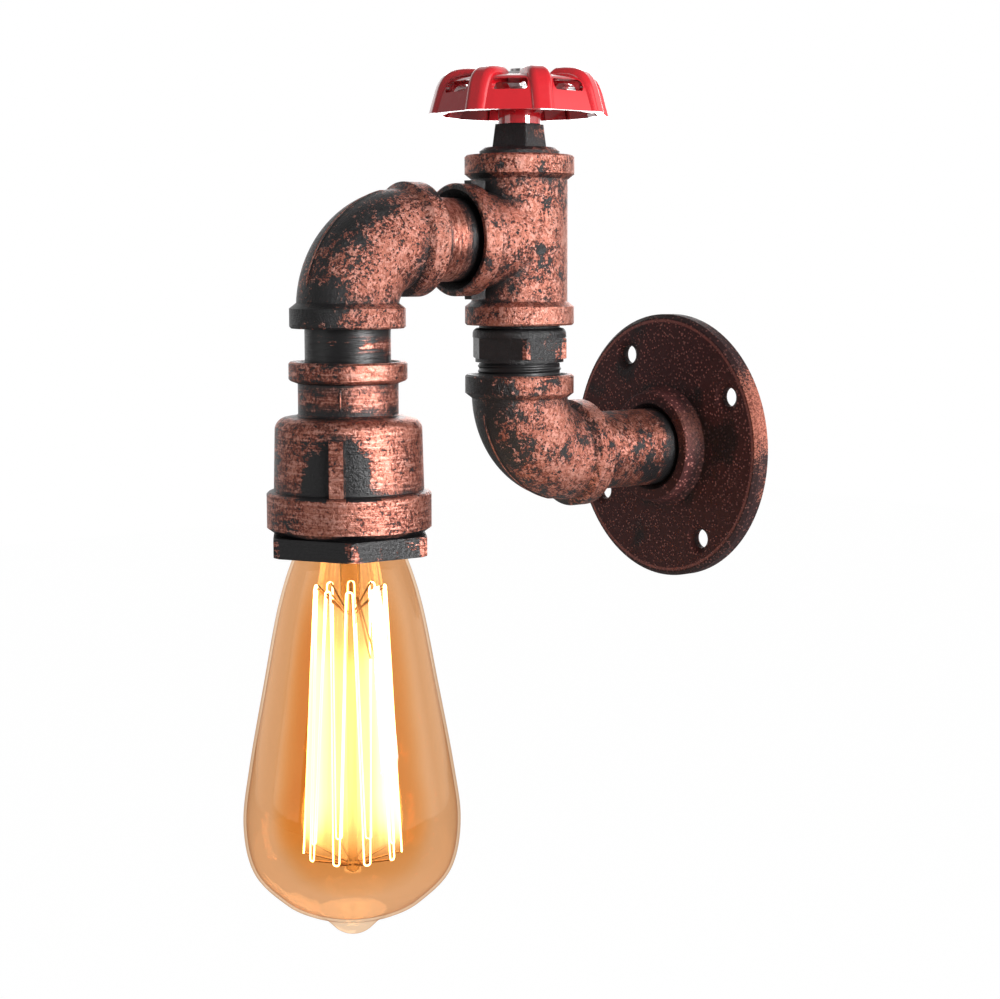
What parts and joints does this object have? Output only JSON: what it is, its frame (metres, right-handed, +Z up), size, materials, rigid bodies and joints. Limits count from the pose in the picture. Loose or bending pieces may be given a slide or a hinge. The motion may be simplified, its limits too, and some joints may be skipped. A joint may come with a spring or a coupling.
{
  "type": "pipe wall light",
  "caption": "Wall light of threaded pipe fittings with a round wall flange, a tee and elbow arm, a red handwheel that turns and a bare teardrop filament lamp hanging down.",
  "frame": {"origin": "centre of the wall flange's back face, on the wall plane y = 0", "axes": "+Y into the wall, the arm comes out along -Y, +Z up, +X to the right as seen when facing the wall"},
  "size_m": [0.0924, 0.1744, 0.2755],
  "materials": {
    "rubbed_iron": "black enamel dry-brushed with copper",
    "flange_iron": "dark oxblood pebbled paint with copper rim",
    "black_iron": "black enamel, copper on worn edges",
    "red_enamel": "gloss red enamel",
    "zinc_steel": "bright zinc plate",
    "porcelain": "white glazed porcelain",
    "nickel_brass": "nickel-plated brass",
    "brass": "bright brass",
    "brown_wire": "brown insulation, bare copper end",
    "blue_wire": "blue insulation, bare copper end",
    "amber_glass": "clear amber glass",
    "cap_brass": "rolled brass screw cap",
    "black_glass": "black cap glass",
    "solder": "dull solder",
    "clear_glass": "clear glass",
    "fine_wire": "molybdenum wire",
    "glow": "glowing filament"
  },
  "bodies": {
    "body": {"wall_flange": "flange_iron", "wall_nipple": "rubbed_iron", "lower_elbow": "rubbed_iron", "hex_nipple": "black_iron", "tee": "rubbed_iron", "branch_nipple": "rubbed_iron", "upper_elbow": "rubbed_iron", "lamp_nipple": "rubbed_iron", "reducer": "rubbed_iron", "end_ring": "black_iron", "top_plug": "black_iron", "holder_body": "porcelain", "screw_shell": "nickel_brass", "centre_contact": "brass", "live_terminal": "brass", "neutral_terminal": "brass", "terminal_screws": "zinc_steel", "live_wire": "brown_wire", "neutral_wire": "blue_wire"},
    "wheel": {"handwheel": "red_enamel", "wheel_spindle": "zinc_steel", "lower_washer": "zinc_steel", "upper_washer": "zinc_steel", "wheel_nut": "zinc_steel"},
    "lamp": {"bulb_glass": "amber_glass", "bulb_cap": "cap_brass", "cap_insulator": "black_glass", "cap_contact": "solder", "bulb_stem": "clear_glass", "filament": "glow", "filament_hooks": "fine_wire", "lead_wires": "fine_wire"}
  },
  "joints": [
    {"name": "handwheel_spin", "type": "hinge", "parent": "body", "child": "wheel", "pos_m": [0, -0.0712, 0.1], "axis": [0, 0, 1], "continuous": true},
    {"name": "bulb_removal", "type": "slide", "parent": "body", "child": "lamp", "axis": [0, 0, -1], "range_m": [0, 0.06]}
  ]
}
